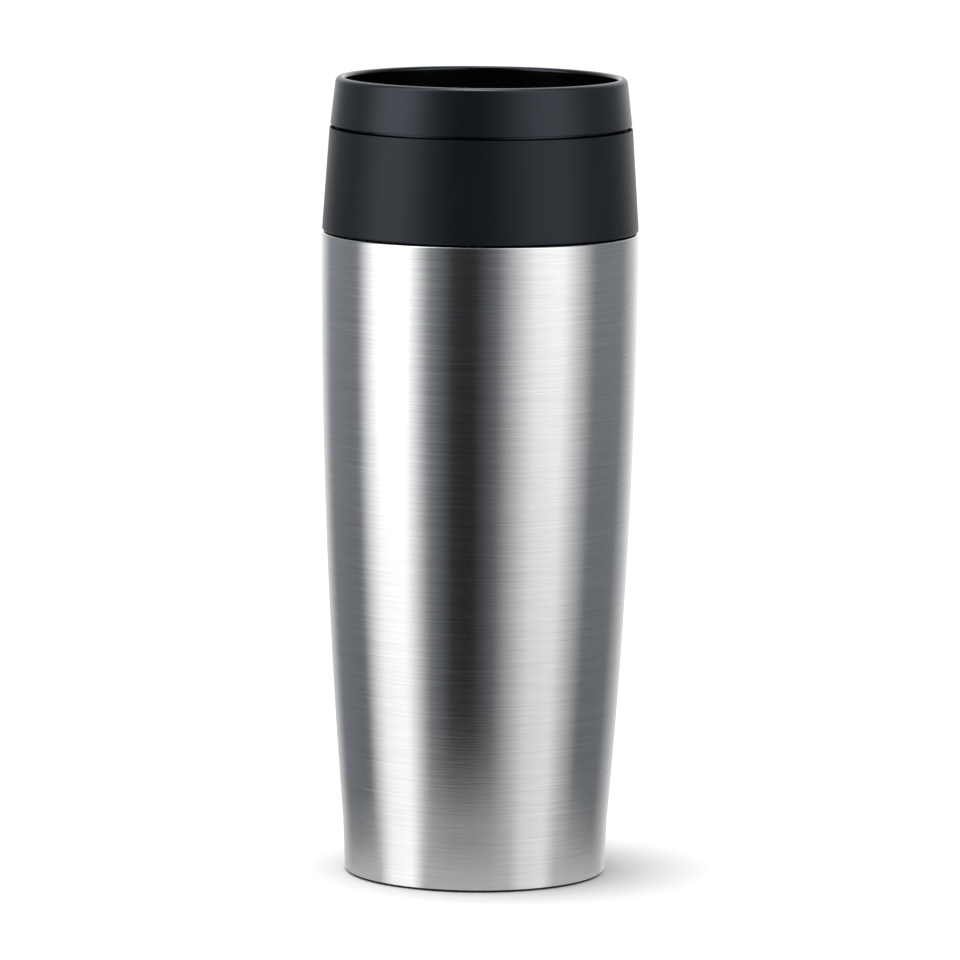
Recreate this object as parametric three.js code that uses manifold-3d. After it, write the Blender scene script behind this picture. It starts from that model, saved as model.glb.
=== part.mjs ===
// Insulated travel mug with a screw-in lid and a push button in the middle of the drinking well.
// Millimetres, +Z up. The origin is the middle of the foot, on the surface that the mug stands on.
import * as THREE from 'three';
import * as BufferGeometryUtils from 'three/addons/utils/BufferGeometryUtils.js';
import Module from 'manifold-3d';

const wasm = await Module();
wasm.setup();

// ---- driving dimensions ----
const HEIGHT = 203;             // foot to drinking lip
const MAX_RADIUS = 40.06;       // steel body, level with SHOULDER
const BOW_RADIUS = 1780;        // the one long arc of the body's side
const BASE_RADIUS = 33.15;      // steel body at its bottom edge
const STRAIGHT_BELOW = 13;      // under this the side leaves the arc and runs straight
const SHOULDER = 164.2;         // where the body turns in under the lid
const STEEL = 0.5;              // sheet thickness of both steel walls
const VACUUM = 5.7;             // gap between the two walls
const FOOT_SHOWS = 0.6;         // how much of the foot stands out below the steel
const NECK_RADIUS = 36.4;       // outside of the neck, inside the lid's collar
const MOUTH = 183;              // top of the steel mouth
const NECK_BORE = 34;           // inside of the neck, between its threads
const COLLAR_BOTTOM = 164.4;
const COLLAR_TOP = 190.3;
const SEAM = 0.6;               // dark line between the collar and the drinking rim
const LIP_RADIUS = 36.8;        // outside of the drinking lip
const LIP_BORE = 34.5;          // inside of the drinking lip
const PLUG_RADIUS = 32.4;       // lid's screw plug, between its threads
const PLUG_BORE = 30.2;
const SEAT_BORE = 28.6;         // narrower bore above the valve seat
const PLUG_BOTTOM = 162;
const THREAD_LEAD = 13;         // rise for one turn of the two-start thread
const THREAD_START = 180;       // height where the mouth's own threads begin
const THREAD_CREST = 32.85;     // how far in the ridges in the mouth reach
const WELL_BORE = 28.2;         // where the drink comes up around the valve housing
const HOUSING_RADIUS = 18.8;
const HOUSING_BORE = 16.9;
const HOUSING_FLOOR = 169;
const BUTTON_RADIUS = 16.6;
const BUTTON_TOP = 193;
const BUTTON_BOTTOM = 179.2;
const STEM_RADIUS = 4;
const STEM_BOTTOM = 163.3;
const DISC_RADIUS = 27.2;
const DISC_BOTTOM = 158.6;
const LATCH_PIVOT = 171;        // height of the latch wire's lower leg
const LATCH_TIP = 181;          // height of its upper leg, which runs in the button's track
const LATCH_SHAFT = -20.2;      // how far out, along Y, the wire's upright lies
const WIRE = 0.5;               // latch wire's radius
const BIG = 36;                 // facets round a large piece
const SMALL = 24;               // facets round a small one

// ---- materials ----
const steel = { color: 0xb4b7ba, roughness: 0.3, metalness: 1 };
const innerSteel = { color: 0xc2c4c6, roughness: 0.38, metalness: 1 };
const softBlack = { color: 0x22272e, roughness: 0.42, metalness: 0 };
const glossBlack = { color: 0x14171b, roughness: 0.2, metalness: 0 };
const innerPlastic = { color: 0x2b2f34, roughness: 0.45, metalness: 0 };
const silicone = { color: 0x1b1c1e, roughness: 0.75, metalness: 0 };
const greySilicone = { color: 0x85888c, roughness: 0.65, metalness: 0 };
const getterGrey = { color: 0x5f6163, roughness: 0.8, metalness: 0.4 };

// ---- helpers ----

// A profile through corners [radius, height, setback]. A setback rounds the corner off, starting
// that far before it.
function profile(corners, steps = 2) {
  const at = (i) => new THREE.Vector2(...corners.at(i % corners.length).slice(0, 2));
  return corners.flatMap(([, , setback = 0], i) => {
    const corner = at(i);
    if (setback === 0) return [corner];
    const start = corner.clone().add(at(i - 1).sub(corner).setLength(setback));
    const end = corner.clone().add(at(i + 1).sub(corner).setLength(setback));
    return new THREE.QuadraticBezierCurve(start, corner, end).getPoints(steps);
  });
}

// A solid of revolution about Z. The corners run counter-clockwise, with the radius to the right
// and the height up. A profile off the axis closes on itself.
function revolve(corners, segments = BIG, steps = 2) {
  const points = profile(corners, steps);
  if (points[0].x > 0) points.push(points[0].clone());
  return new THREE.LatheGeometry(points, segments).rotateX(Math.PI / 2);
}

// A block between two opposite corners.
function block(low, high) {
  const size = high.map((value, i) => value - low[i]);
  const middle = high.map((value, i) => (value + low[i]) / 2);
  return new THREE.BoxGeometry(...size).translate(...middle);
}

// A regular polygon as a Shape, for round wires.
function wireSection(radius, sides) {
  const corners = Array.from({ length: sides }, (_, i) => {
    const angle = (2 * Math.PI * i) / sides;
    return new THREE.Vector2(radius * Math.cos(angle), radius * Math.sin(angle));
  });
  return new THREE.Shape(corners);
}

function toSolid(geometry) {
  const bare = geometry.clone();
  bare.deleteAttribute('normal');
  bare.deleteAttribute('uv');
  const merged = BufferGeometryUtils.mergeVertices(bare);
  const triangles = [];
  for (let i = 0; i < merged.index.count; i += 3) {
    const [a, b, c] = [0, 1, 2].map((k) => merged.index.getX(i + k));
    if (a !== b && b !== c && c !== a) triangles.push(a, b, c);
  }
  return new wasm.Manifold(new wasm.Mesh({
    numProp: 3,
    vertProperties: new Float32Array(merged.attributes.position.array),
    triVerts: new Uint32Array(triangles),
  }));
}

function toGeometry(solid) {
  const { vertProperties, triVerts } = solid.getMesh();
  const geometry = new THREE.BufferGeometry();
  geometry.setAttribute('position', new THREE.BufferAttribute(new Float32Array(vertProperties), 3));
  geometry.setIndex(new THREE.BufferAttribute(new Uint32Array(triVerts), 1));
  return geometry;
}

// The first geometry with the added ones joined on and then the removed ones cut away.
function combine(base, { add = [], remove = [] }) {
  let solid = toSolid(base);
  add.forEach((geometry) => { solid = solid.add(toSolid(geometry)); });
  remove.forEach((geometry) => { solid = solid.subtract(toSolid(geometry)); });
  return toGeometry(solid);
}

function piece(name, geometry, look) {
  const mesh = new THREE.Mesh(geometry, new THREE.MeshStandardMaterial(look));
  mesh.name = name;
  return mesh;
}

// The two ridges of a right-hand two-start thread. Each winds down from the height top over sweep
// degrees. It stands from the radius root to the radius crest and fades in and out at its ends.
function threadRidges({ root, crest, top, sweep }) {
  const rootHalf = 1.25;
  const crestHalf = 0.6;
  const fadeShare = 0.08;
  const endHeight = 0.3;
  const outward = Math.sign(crest - root);
  const corners = [[root, -rootHalf], [crest, -crestHalf], [crest, crestHalf], [root, rootHalf]];
  const ordered = outward > 0 ? corners : corners.toReversed();
  const section = new THREE.Shape(ordered.map(([x, y]) => new THREE.Vector2(x, y)));
  return [0, 180].map((start) => {
    const steps = Math.ceil(sweep / 12);
    const ridge = new THREE.ExtrudeGeometry(section, { depth: 1, steps, bevelEnabled: false });
    const position = ridge.attributes.position;
    for (let i = 0; i < position.count; i += 1) {
      const along = position.getZ(i);
      const nearEnd = Math.min(along, 1 - along) / fadeShare;
      const height = Math.min(1, endHeight + (1 - endHeight) * nearEnd);
      const radius = root + (position.getX(i) - root) * height;
      const angle = THREE.MathUtils.degToRad(start - sweep * along);
      const drop = (THREAD_LEAD * sweep * along) / 360;
      const z = top - drop + position.getY(i);
      position.setXYZ(i, radius * Math.cos(angle), radius * Math.sin(angle), z);
    }
    return ridge;
  });
}

// ---- vessel: two steel walls with a vacuum between them ----

// Radius of the body's outside at a height on its long arc.
function sideRadius(z) {
  const below = SHOULDER - z;
  return MAX_RADIUS - BOW_RADIUS + Math.sqrt(BOW_RADIUS ** 2 - below ** 2);
}

// Points up the side, moved in by an inset.
function sidePoints(inset, from, to, count) {
  return Array.from({ length: count }, (_, i) => {
    const z = from + ((to - from) * i) / (count - 1);
    return [sideRadius(z) - inset, z];
  });
}

// The outer wall: one long bowed side, a turned-in shoulder and the neck.
function outerShell() {
  const sideTop = 161;
  return revolve([
    [BASE_RADIUS, FOOT_SHOWS, 0.2],
    ...sidePoints(0, STRAIGHT_BELOW, sideTop, 6),
    [MAX_RADIUS, SHOULDER, 1.1],
    [NECK_RADIUS, SHOULDER, 0.8],
    [NECK_RADIUS, MOUTH - 0.6],
    [NECK_RADIUS - STEEL, MOUTH - 0.6],
    [NECK_RADIUS - STEEL, SHOULDER - STEEL, 0.8],
    [MAX_RADIUS - STEEL, SHOULDER - STEEL, 1.1],
    ...sidePoints(STEEL, STRAIGHT_BELOW, sideTop, 6).toReversed(),
    [BASE_RADIUS - STEEL, FOOT_SHOWS],
  ]);
}

// The cup itself, with the rolled lip that meets the outer wall and the mouth's two thread ridges.
function innerLiner() {
  const bottom = 11;
  const cornerSetback = 7;
  const cupInset = STEEL + VACUUM;
  const wallBottom = 24;
  const wallTop = 161;
  const cup = revolve([
    [0, bottom + 0.4],
    [16, bottom],
    [sideRadius(bottom) - cupInset, bottom, cornerSetback],
    ...sidePoints(cupInset, wallBottom, wallTop, 5),
    [sideRadius(wallTop) - cupInset, wallTop + 2],
    [NECK_BORE + STEEL, wallTop + 4],
    [NECK_BORE + STEEL, MOUTH - 0.55],
    [NECK_RADIUS, MOUTH - 0.55],
    [NECK_RADIUS, MOUTH, 0.25],
    [NECK_BORE, MOUTH, 0.4],
    [NECK_BORE, wallTop + 4],
    [sideRadius(wallTop) - cupInset - STEEL, wallTop + 2],
    ...sidePoints(cupInset + STEEL, wallBottom, wallTop, 5).toReversed(),
    [sideRadius(bottom) - cupInset - STEEL, bottom + STEEL, cornerSetback],
    [16, bottom + STEEL],
    [0, bottom + STEEL + 0.4],
  ]);
  const ridges = threadRidges({
    root: NECK_BORE + 0.2,
    crest: THREAD_CREST,
    top: THREAD_START,
    sweep: 300,
  });
  return combine(cup, { add: ridges });
}

// Pressed disc that closes the outer wall from below, with a dimple for the vacuum port.
function outerBaseDisc() {
  const under = 2.85;
  const rim = 32.55;
  const dimple = 1.95;
  return revolve([
    [1.5, under + dimple],
    [6.5, under + dimple],
    [8.5, under],
    [rim, under, 0.8],
    [rim, 7],
    [rim - STEEL, 7],
    [rim - STEEL, under + STEEL, 0.5],
    [8.8, under + STEEL],
    [6.8, under + dimple + STEEL],
    [1.5, under + dimple + STEEL],
  ]);
}

// Bead that plugs the port once the air is drawn out.
function vacuumSeal() {
  return revolve([[0, 3.6], [3.2, 3.7], [4.2, 4.7], [1.3, 4.75], [1.3, 5.9], [0, 6.2]], SMALL);
}

function getterTablet() {
  return revolve([[0, 8.2], [4.5, 8.2, 0.4], [4.5, 10.6, 0.4], [0, 10.6]], SMALL);
}

// Strap spot-welded under the cup, which carries the getter.
function getterStrap() {
  return block([-9, -2.5, 10.65], [9, 2.5, 10.95]);
}

// Silicone disc in the recess of the base. Only its outer ring touches the table.
function antiSlipFoot() {
  const radius = 32.5;
  const top = 2.75;
  return revolve([[0, 0.8], [23, 0.8], [24, 0], [radius, 0, 0.2], [radius, top], [0, top]]);
}

// ---- lid ----

// The lower ring that is gripped to unscrew the lid.
function lidCollar() {
  return revolve([
    [37.7, COLLAR_BOTTOM],
    [40.16, COLLAR_BOTTOM, 1],
    [38.33, COLLAR_TOP, 0.3],
    [36.2, COLLAR_TOP],
    [36.2, 187.3],
    [37.3, 187.3],
    [37.3, COLLAR_BOTTOM + 0.6],
  ]);
}

// The upper ring: lip, funnel down to the well, a skirt that clamps the valve housing and a spigot
// inside the collar.
function drinkingRim() {
  const shelf = 187.2;
  const skirtBottom = 182.3;
  const skirt = PLUG_BORE - 0.15;
  const groove = 29;
  return revolve([
    [WELL_BORE, skirtBottom],
    [skirt, skirtBottom],
    [skirt, 183.7],
    [groove, 183.7],
    [groove, 185.5],
    [skirt, 185.5],
    [skirt, shelf],
    [31.4, shelf],
    [34, 190.4],
    [34.3, 190.4],
    [34.3, shelf],
    [35.9, shelf],
    [35.9, COLLAR_TOP + SEAM],
    [38.2, COLLAR_TOP + SEAM, 0.3],
    [LIP_RADIUS, HEIGHT, 0.9],
    [LIP_BORE, HEIGHT, 0.5],
    [32.6, 190.6, 3],
    [WELL_BORE, 186.6],
  ], BIG, 2);
}

// O-ring between the drinking rim's skirt and the plug.
function rimSeal() {
  const [bore, outer, low, high] = [29.1, 30.12, 183.8, 185.4];
  return revolve([[bore, low, 0.4], [outer, low, 0.4], [outer, high, 0.4], [bore, high, 0.4]], BIG, 1);
}

// The threaded plug that goes down into the neck. Its conical bottom edge is the valve's seat.
function lidPlug() {
  const flangeBottom = MOUTH + 1.8;
  const flangeTop = 187.05;
  const step = 175.9;
  const tube = revolve([
    [29.8, PLUG_BOTTOM],
    [PLUG_RADIUS, PLUG_BOTTOM, 0.7],
    [PLUG_RADIUS, flangeBottom],
    [37.1, flangeBottom],
    [37.1, flangeTop],
    [PLUG_BORE, flangeTop],
    [PLUG_BORE, step],
    [SEAT_BORE, step],
    [SEAT_BORE, PLUG_BOTTOM + 1.4],
  ]);
  const ridges = threadRidges({
    root: PLUG_RADIUS - 0.2,
    crest: NECK_BORE - 0.45,
    top: THREAD_START - 1.95,
    sweep: 240,
  });
  return combine(tube, { add: ridges });
}

// Flat silicone ring between the plug's flange and the steel mouth.
function lidGasket() {
  const low = MOUTH + 0.1;
  const high = MOUTH + 1.7;
  return revolve([[34.4, low], [36.7, low, 0.3], [36.7, high, 0.3], [34.4, high]], BIG, 1);
}

// Dry cup for the button and its spring, hung in the plug by three spokes and a ring. A bay on its
// front holds the latch wire, and a bore in its floor guides the stem.
function valveHousing() {
  const top = 192.4;
  const floorBottom = 166.9;
  const bossBottom = 164.6;
  const bossRadius = 8;
  const sealPocket = 6.62;
  const stemBore = 4.2;
  const cup = revolve([
    [stemBore, floorBottom],
    [sealPocket, floorBottom],
    [sealPocket, bossBottom],
    [bossRadius, bossBottom],
    [bossRadius, floorBottom],
    [HOUSING_RADIUS, floorBottom, 0.7],
    [HOUSING_RADIUS, top, 0.4],
    [HOUSING_BORE, top, 0.4],
    [HOUSING_BORE, HOUSING_FLOOR],
    [stemBore, HOUSING_FLOOR],
  ], SMALL);
  const ringOuter = PLUG_BORE - 0.1;
  const ring = revolve([[WELL_BORE, 176], [ringOuter, 176], [ringOuter, 182.2], [WELL_BORE, 182.2]]);
  const spokes = [90, 210, 330].map((angle) => (
    block([HOUSING_RADIUS - 0.6, -1.2, 176.6], [WELL_BORE + 0.4, 1.2, 181.6])
      .rotateZ(THREE.MathUtils.degToRad(angle))
  ));
  const bay = block([-4.2, -21, 168.6], [4.2, -17.5, 184.6]);
  const pocket = block([-1.6, -21.5, 169.6], [3, -19.4, 183.2]);
  const slot = block([-1.1, -19.6, 179.8], [2.6, -16, 182]);
  const pivotHole = new THREE.CylinderGeometry(WIRE + 0.15, WIRE + 0.15, 2.2, 12)
    .translate(0, -18.5, LATCH_PIVOT);
  const keyways = [-1, 1].map((side) => (
    block([HOUSING_BORE - 0.4, -1.15, 173.5], [17.8, 1.15, top + 1]).rotateZ(side > 0 ? 0 : Math.PI)
  ));
  return combine(cup, {
    add: [ring, ...spokes, bay],
    remove: [pocket, slot, pivotHole, ...keyways],
  });
}

// Lip seal around the stem, in the pocket under the housing's floor.
function stemSeal() {
  return revolve([[4.08, 165.6], [6.5, 165.6], [6.5, 166.8], [4.08, 166.8]], SMALL);
}

// Pressed-in washer that keeps the stem's seal in its pocket.
function sealRetainer() {
  return revolve([[4.5, 164.7], [6.5, 164.7], [6.5, 165.5], [4.5, 165.5]], SMALL);
}

// Plate snapped over the latch bay.
function latchCover() {
  return block([-4.2, -22, 168.6], [4.2, -21.1, 184.6]);
}

// ---- button and valve: these move up and down together ----

// The button is a cup with a boss for the stem, two keys that stop it turning, and a heart-shaped
// track in its skirt that the latch wire follows.
function buttonCap() {
  const underside = 191.2;
  const skirtBore = 14.4;
  const trackFloor = 15.5;
  const cap = revolve([
    [0, 188.2],
    [4.1, 188.2],
    [4.1, 178],
    [6.2, 178],
    [6.2, underside],
    [skirtBore, underside],
    [skirtBore, BUTTON_BOTTOM],
    [BUTTON_RADIUS, BUTTON_BOTTOM],
    [BUTTON_RADIUS, BUTTON_TOP, 0.8],
    [13.6, BUTTON_TOP],
    [13.4, BUTTON_TOP - 0.5],
    [0, BUTTON_TOP - 0.5],
  ], SMALL);
  const keys = [0, Math.PI].map((angle) => block([16, -0.8, 180], [17.5, 0.8, 189]).rotateZ(angle));
  const toPoints = (corners) => corners.map(([x, up]) => new THREE.Vector2(x, LATCH_TIP + up));
  const track = new THREE.Shape(toPoints([
    [-0.9, -0.9],
    [0.9, -0.9],
    [2.3, 3.8],
    [2.7, 6],
    [2.7, 6.9],
    [-3, 6.9],
    [-3, 3.2],
  ]));
  const heart = toPoints([[-0.75, 1.5], [0, 3.6], [0.1, 4.4], [-0.7, 3.9], [-1.5, 4.4], [-1.5, 3]]);
  track.holes.push(new THREE.Path(heart));
  const cut = new THREE.ExtrudeGeometry(track, { depth: 2, bevelEnabled: false })
    .rotateX(Math.PI / 2)
    .translate(0, -trackFloor, 0);
  return combine(cap, { add: keys, remove: [cut] });
}

function buttonInlay() {
  const under = BUTTON_TOP - 0.45;
  return revolve([[0, under], [13.2, under], [13.2, BUTTON_TOP + 0.1, 0.3], [0, BUTTON_TOP + 0.4]], SMALL);
}

// Rod from the button to the valve disc, with a blind hole for the screw.
function valveStem() {
  return revolve([
    [0, 174],
    [1.6, 174],
    [1.6, STEM_BOTTOM],
    [STEM_RADIUS, STEM_BOTTOM],
    [STEM_RADIUS, 188, 0.5],
    [0, 188],
  ], 24);
}

function valveDisc() {
  const top = 163.2;
  const grooveRadius = 25.6;
  return revolve([
    [3.7, DISC_BOTTOM],
    [DISC_RADIUS, DISC_BOTTOM, 0.8],
    [DISC_RADIUS, 159.9],
    [grooveRadius, 159.9],
    [grooveRadius, 161.7],
    [DISC_RADIUS, 161.7],
    [DISC_RADIUS, top, 0.6],
    [1.75, top],
    [1.75, 160.8],
    [3.7, 160.8],
  ], BIG, 1);
}

// Silicone ring on the disc. Its cone closes against the plug's bottom edge.
function valveSeal() {
  return revolve([
    [25.7, 160],
    [29.7, 160, 0.3],
    [30.1, 161.3],
    [29.72, 161.85],
    [28.5, 163.25],
    [27.35, 163.25],
    [27.35, 161.6],
    [25.7, 161.6],
  ], BIG, 1);
}

function valveScrew() {
  const screw = revolve([
    [0, 158.75],
    [3.4, 158.75, 0.3],
    [3.4, 160.7],
    [1.5, 160.7],
    [1.5, 171],
    [0, 172],
  ], 24);
  const drive = [0, Math.PI / 2].map((angle) => (
    block([-1.9, -0.35, 158], [1.9, 0.35, 159.9]).rotateZ(angle)
  ));
  return combine(screw, { remove: drive });
}

// ---- return spring and latch wire ----

class CoilCurve extends THREE.Curve {
  constructor(radius, bottom, top, turns) {
    super();
    Object.assign(this, { radius, bottom, top, turns });
  }

  getPoint(t, target = new THREE.Vector3()) {
    const angle = 2 * Math.PI * this.turns * t;
    const z = this.bottom + (this.top - this.bottom) * t;
    return target.set(this.radius * Math.cos(angle), this.radius * Math.sin(angle), z);
  }
}

// Compression spring between the housing's floor and the underside of the button.
function returnSpring() {
  const wire = 0.6;
  const turns = 5.5;
  const coil = new CoilCurve(9.4, HOUSING_FLOOR + wire + 0.15, 191.2 - wire - 0.15, turns);
  const section = wireSection(wire, 6);
  return new THREE.ExtrudeGeometry(section, { extrudePath: coil, steps: turns * 12 });
}

// Bent wire: a lower leg that pivots in the housing, an upright and an upper leg in the track.
function latchPin() {
  const bend = 0.9;
  const hole = new THREE.Vector3(0, -17.7, LATCH_PIVOT);
  const lower = new THREE.Vector3(0, LATCH_SHAFT, LATCH_PIVOT);
  const upper = new THREE.Vector3(0, LATCH_SHAFT, LATCH_TIP);
  const tip = new THREE.Vector3(0, -15.75, LATCH_TIP);
  const lowerIn = lower.clone().setY(LATCH_SHAFT + bend);
  const lowerOut = lower.clone().setZ(LATCH_PIVOT + bend);
  const upperIn = upper.clone().setZ(LATCH_TIP - bend);
  const upperOut = upper.clone().setY(LATCH_SHAFT + bend);
  const path = new THREE.CurvePath();
  path.add(new THREE.LineCurve3(hole, lowerIn));
  path.add(new THREE.QuadraticBezierCurve3(lowerIn, lower, lowerOut));
  path.add(new THREE.LineCurve3(lowerOut, upperIn));
  path.add(new THREE.QuadraticBezierCurve3(upperIn, upper, upperOut));
  path.add(new THREE.LineCurve3(upperOut, tip));
  return new THREE.ExtrudeGeometry(wireSection(WIRE, 6), { extrudePath: path, steps: 18 });
}

// ---- assembly ----

const vessel = new THREE.Group();
vessel.add(
  piece('outer_shell', outerShell(), steel),
  piece('inner_liner', innerLiner(), innerSteel),
  piece('outer_base_disc', outerBaseDisc(), steel),
  piece('vacuum_seal', vacuumSeal(), getterGrey),
  piece('getter_tablet', getterTablet(), getterGrey),
  piece('getter_strap', getterStrap(), innerSteel),
  piece('anti_slip_foot', antiSlipFoot(), silicone),
);

const lid = new THREE.Group();
lid.add(
  piece('lid_gasket', lidGasket(), greySilicone),
  piece('lid_collar', lidCollar(), softBlack),
  piece('drinking_rim', drinkingRim(), glossBlack),
  piece('lid_plug', lidPlug(), innerPlastic),
  piece('rim_seal', rimSeal(), greySilicone),
  piece('valve_housing', valveHousing(), innerPlastic),
  piece('stem_seal', stemSeal(), greySilicone),
  piece('seal_retainer', sealRetainer(), innerSteel),
  piece('latch_cover', latchCover(), innerPlastic),
  piece('return_spring', returnSpring(), innerSteel),
  piece('latch_pin', latchPin(), innerSteel),
);

const button = new THREE.Group();
button.add(
  piece('button_cap', buttonCap(), softBlack),
  piece('button_inlay', buttonInlay(), glossBlack),
  piece('valve_stem', valveStem(), innerPlastic),
  piece('valve_disc', valveDisc(), innerPlastic),
  piece('valve_seal', valveSeal(), greySilicone),
  piece('valve_screw', valveScrew(), innerSteel),
);
lid.add(button);

const mug = new THREE.Group();
mug.add(vessel, lid);

export default mug;
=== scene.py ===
# Insulated travel mug, built up from the inside of its vessel to the button in its lid.
import math

import bmesh
import bpy
from mathutils import Matrix, Vector


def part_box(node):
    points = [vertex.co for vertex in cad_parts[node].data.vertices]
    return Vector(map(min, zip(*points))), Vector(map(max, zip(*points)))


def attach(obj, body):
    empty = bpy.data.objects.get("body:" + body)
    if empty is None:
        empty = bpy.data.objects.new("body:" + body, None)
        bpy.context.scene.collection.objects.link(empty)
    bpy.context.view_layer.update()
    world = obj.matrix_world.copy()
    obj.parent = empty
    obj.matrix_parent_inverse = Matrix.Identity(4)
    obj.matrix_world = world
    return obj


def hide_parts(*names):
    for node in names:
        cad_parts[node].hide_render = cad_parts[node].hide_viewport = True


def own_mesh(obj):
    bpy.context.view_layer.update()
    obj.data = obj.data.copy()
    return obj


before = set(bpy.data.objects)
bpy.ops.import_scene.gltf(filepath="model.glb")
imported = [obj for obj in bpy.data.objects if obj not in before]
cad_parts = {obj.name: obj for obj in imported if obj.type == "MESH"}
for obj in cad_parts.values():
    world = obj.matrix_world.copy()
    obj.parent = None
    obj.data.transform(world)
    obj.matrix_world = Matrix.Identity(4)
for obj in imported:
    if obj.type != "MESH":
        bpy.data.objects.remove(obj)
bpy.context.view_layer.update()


# ---- cup ----
# The inner wall is a deep-drawn stainless cup, electropolished to a satin inside. Its neck has two
# rolled thread ridges for the lid, and its mouth is rolled outward over the outer wall and welded.

TURN_STEPS = 160                # faces round a large turned piece
STEEL = 0.0005                  # sheet thickness
FACET_ANGLE = math.radians(32)  # an edge sharper than this stays crisp


def reach(node):
    """The lowest height, highest height and outer radius of a CAD node."""
    low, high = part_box(node)
    return low.z, high.z, max(high.x, high.y)


def spun(shape, corners, steps=TURN_STEPS):
    """Adds a turned solid to a bmesh. A corner is (radius, height) or (radius, height, bevel)."""
    first = len(shape.verts)
    ring = [shape.verts.new((corner[0], 0, corner[1])) for corner in corners]
    follows = ring[1:] + (ring[:1] if corners[0][0] > 0 else [])
    edges = [shape.edges.new(pair) for pair in zip(ring, follows)]
    bmesh.ops.spin(
        shape, geom=ring + edges, cent=(0, 0, 0), axis=(0, 0, 1),
        angle=2 * math.pi, steps=steps, use_merge=True,
    )
    shape.verts.ensure_lookup_table()
    bmesh.ops.remove_doubles(shape, verts=shape.verts[first:], dist=1e-7)
    return shape


def round_corners(shape, corners, segments=3):
    """Bevels the rings of a turned solid whose corners give a bevel."""
    for radius, height, *bevel in corners:
        if not bevel:
            continue

        def on_ring(vert):
            off_radius = abs(math.hypot(vert.co.x, vert.co.y) - radius)
            return off_radius < 1e-6 and abs(vert.co.z - height) < 1e-6

        ring = [edge for edge in shape.edges if all(on_ring(vert) for vert in edge.verts)]
        bmesh.ops.bevel(
            shape, geom=ring, offset=bevel[0], offset_type="OFFSET", segments=segments,
            profile=0.5, affect="EDGES", clamp_overlap=True, material=-1,
        )


def turned(*solids, steps=TURN_STEPS, segments=3):
    """A bmesh of one or more turned solids."""
    shape = bmesh.new()
    for corners in solids:
        part = bmesh.new()
        spun(part, corners, steps)
        bmesh.ops.recalc_face_normals(part, faces=part.faces)
        round_corners(part, corners, segments)
        join(shape, part)
    return shape


def join(shape, part):
    """Moves a bmesh's contents into another."""
    holder = bpy.data.meshes.new("joined")
    part.to_mesh(holder)
    part.free()
    shape.from_mesh(holder)
    bpy.data.meshes.remove(holder)


def coiled(section, turns, rise, steps):
    """A closed solid swept by a section of points (x, z) along a helix round Z."""
    shape = bmesh.new()
    verts = [shape.verts.new((x, 0, z)) for x, z in section]
    start = shape.faces.new(verts)
    bmesh.ops.spin(
        shape, geom=[start], cent=(0, 0, 0), axis=(0, 0, 1),
        dvec=(0, 0, rise / steps), angle=2 * math.pi * turns, steps=steps,
    )
    bmesh.ops.recalc_face_normals(shape, faces=shape.faces)
    return shape


THREAD_LEAD = 0.013             # the lid rises this much in one turn
RIDGE_ROOT = 0.0025             # width of a thread ridge where it leaves the wall
RIDGE_CREST = 0.0012
RIDGE_FADE = 0.08               # share of a ridge over which each end runs out
LOWEST_RIDGE = 0.25             # share of its depth that a ridge keeps at its ends


def thread_ridges(root, crest, top, turns):
    """The two ridges of a two-start thread, each winding down from a height and faded at its ends."""
    half_root = RIDGE_ROOT / 2
    half_crest = RIDGE_CREST / 2
    sweep = turns * 2 * math.pi
    fade = RIDGE_FADE * sweep
    both = bmesh.new()
    for start in (0, math.pi):
        section = [
            (root, top - half_root), (crest, top - half_crest),
            (crest, top + half_crest), (root, top + half_root),
        ]
        ridge = coiled(section, -turns, -THREAD_LEAD * turns, round(turns * 96))
        for vert in ridge.verts:
            radius = math.hypot(vert.co.x, vert.co.y)
            if abs(radius - crest) > 1e-6:
                continue
            along = (top - vert.co.z) / THREAD_LEAD * 2 * math.pi
            share = min(1, max(LOWEST_RIDGE, min(along, sweep - along) / fade))
            wanted = root + (crest - root) * share
            vert.co.x *= wanted / radius
            vert.co.y *= wanted / radius
        turn = Matrix.Rotation(start, 3, "Z")
        bmesh.ops.rotate(ridge, verts=ridge.verts, cent=(0, 0, 0), matrix=turn)
        join(both, ridge)
    return both


class Signal:
    """An output socket, on which arithmetic adds Math nodes."""

    def __init__(self, finish, socket):
        self.finish = finish
        self.socket = socket

    def __add__(self, other):
        return self.finish.maths("ADD", self, other)

    def __sub__(self, other):
        return self.finish.maths("SUBTRACT", self, other)

    def __rsub__(self, other):
        return self.finish.maths("SUBTRACT", other, self)

    def __mul__(self, other):
        return self.finish.maths("MULTIPLY", self, other)

    def __truediv__(self, other):
        return self.finish.maths("DIVIDE", self, other)

    def __rtruediv__(self, other):
        return self.finish.maths("DIVIDE", other, self)

    def __pow__(self, other):
        return self.finish.maths("POWER", self, other)

    __radd__ = __add__
    __rmul__ = __mul__


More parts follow.
